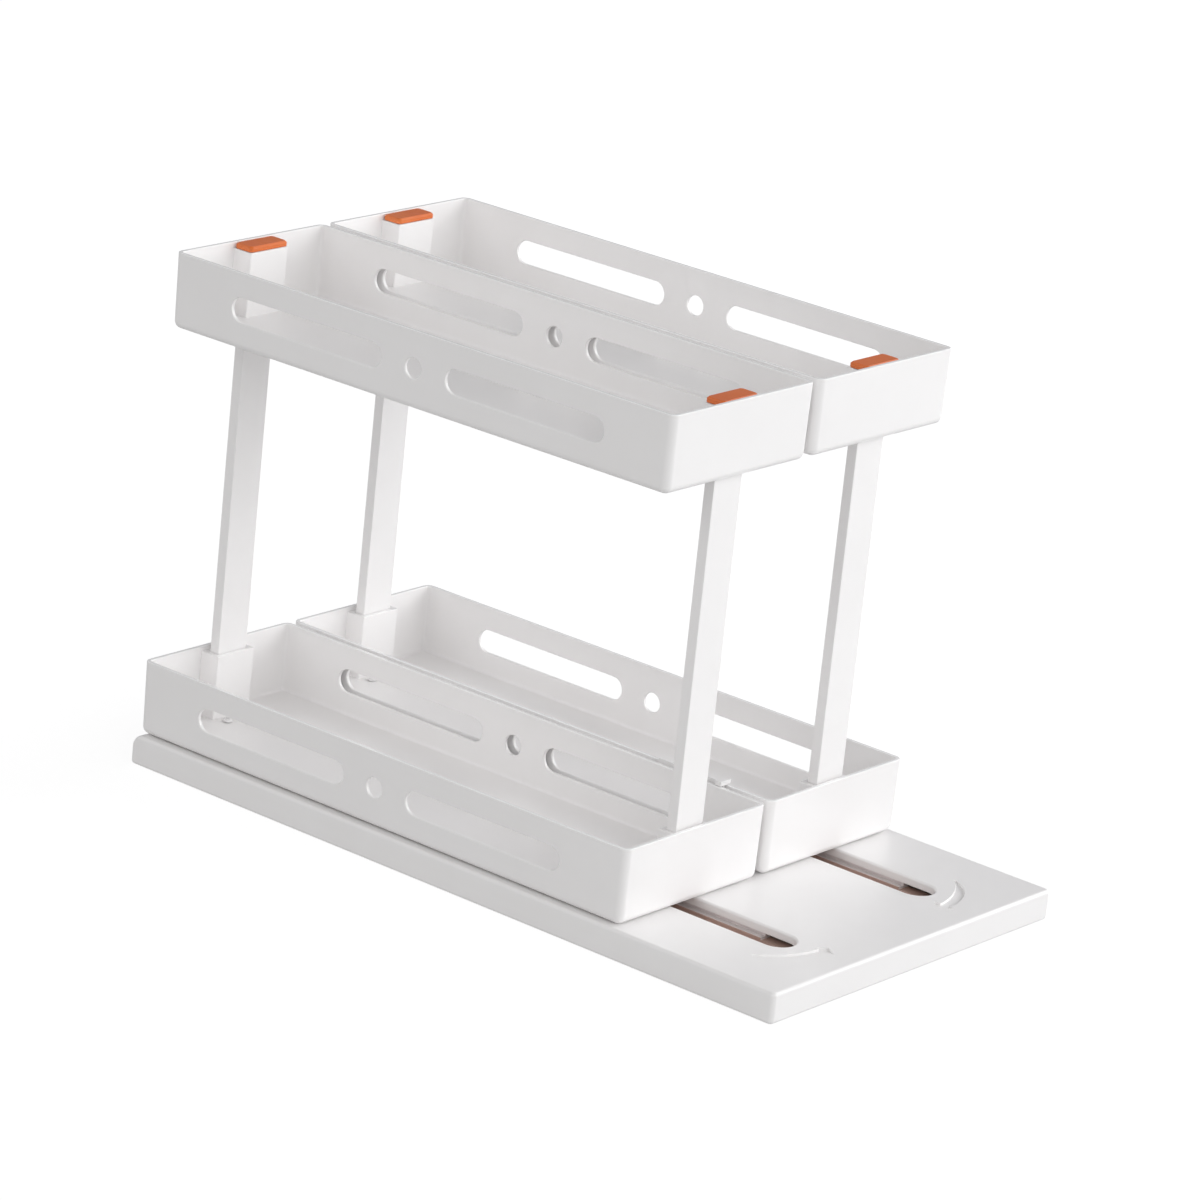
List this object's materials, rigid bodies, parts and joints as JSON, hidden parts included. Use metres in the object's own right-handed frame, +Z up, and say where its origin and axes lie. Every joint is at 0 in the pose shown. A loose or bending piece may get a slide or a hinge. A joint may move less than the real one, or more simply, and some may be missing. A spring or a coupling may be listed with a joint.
{
  "type": "pull-out spice rack",
  "caption": "Low cupboard rack: side-by-side two-level caddies slide forward along slots in a flat base plate and swivel outward, with trays joined by capped posts.",
  "frame": {"origin": "centre of the base plate's underside, on the shelf", "axes": "+Z up, -Y to the front, where the caddies are pulled out, +X to the right seen from the front"},
  "size_m": [0.1816, 0.3426, 0.221],
  "materials": {
    "white_plastic": "satin moulded white plastic",
    "orange_plastic": "satin moulded orange plastic",
    "track_plastic": "plain grey-brown plastic",
    "slider_plastic": "smooth low-friction plastic",
    "pad_rubber": "matt non-slip rubber",
    "screw_steel": "plated steel",
    "screw_enamel": "white enamelled steel"
  },
  "bodies": {
    "base": {"base_cover": "white_plastic", "base_bottom_plate": "white_plastic", "base_screw_1": "screw_steel", "base_screw_2": "screw_steel", "base_screw_3": "screw_steel", "base_screw_4": "screw_steel", "base_screw_5": "screw_steel", "base_screw_6": "screw_steel", "base_pad_1": "pad_rubber", "base_pad_2": "pad_rubber", "base_pad_3": "pad_rubber", "base_pad_4": "pad_rubber", "left_track": "track_plastic", "right_track": "track_plastic"},
    "left_carriage": {"left_slider": "slider_plastic"},
    "left_caddy": {"left_turning_disc": "slider_plastic", "left_pivot_washer": "screw_steel", "left_pivot_screw": "screw_steel", "left_disc_screw_1": "screw_enamel", "left_disc_screw_2": "screw_enamel", "left_lower_tray": "white_plastic", "left_upper_tray": "white_plastic", "left_front_post": "white_plastic", "left_rear_post": "white_plastic", "left_front_cap": "orange_plastic", "left_rear_cap": "orange_plastic", "left_glide_pad_1": "slider_plastic", "left_glide_pad_2": "slider_plastic", "left_glide_pad_3": "slider_plastic", "left_glide_pad_4": "slider_plastic"},
    "right_carriage": {"right_slider": "slider_plastic"},
    "right_caddy": {"right_turning_disc": "slider_plastic", "right_pivot_washer": "screw_steel", "right_pivot_screw": "screw_steel", "right_disc_screw_1": "screw_enamel", "right_disc_screw_2": "screw_enamel", "right_lower_tray": "white_plastic", "right_upper_tray": "white_plastic", "right_front_post": "white_plastic", "right_rear_post": "white_plastic", "right_front_cap": "orange_plastic", "right_rear_cap": "orange_plastic", "right_glide_pad_1": "slider_plastic", "right_glide_pad_2": "slider_plastic", "right_glide_pad_3": "slider_plastic", "right_glide_pad_4": "slider_plastic", "right_rim_clip": "white_plastic"}
  },
  "joints": [
    {"name": "left_slide", "type": "slide", "parent": "base", "child": "left_carriage", "axis": [0, -1, 0], "range_m": [0, 0.293]},
    {"name": "left_swivel", "type": "hinge", "parent": "left_carriage", "child": "left_caddy", "pos_m": [-0.0452, 0.15745, 0.013], "axis": [0, 0, 1], "range_deg": [-90, 0]},
    {"name": "right_slide", "type": "slide", "parent": "base", "child": "right_carriage", "axis": [0, -1, 0], "range_m": [0, 0.293]},
    {"name": "right_swivel", "type": "hinge", "parent": "right_carriage", "child": "right_caddy", "pos_m": [0.0452, 0.15745, 0.013], "axis": [0, 0, 1], "range_deg": [0, 90]}
  ]
}
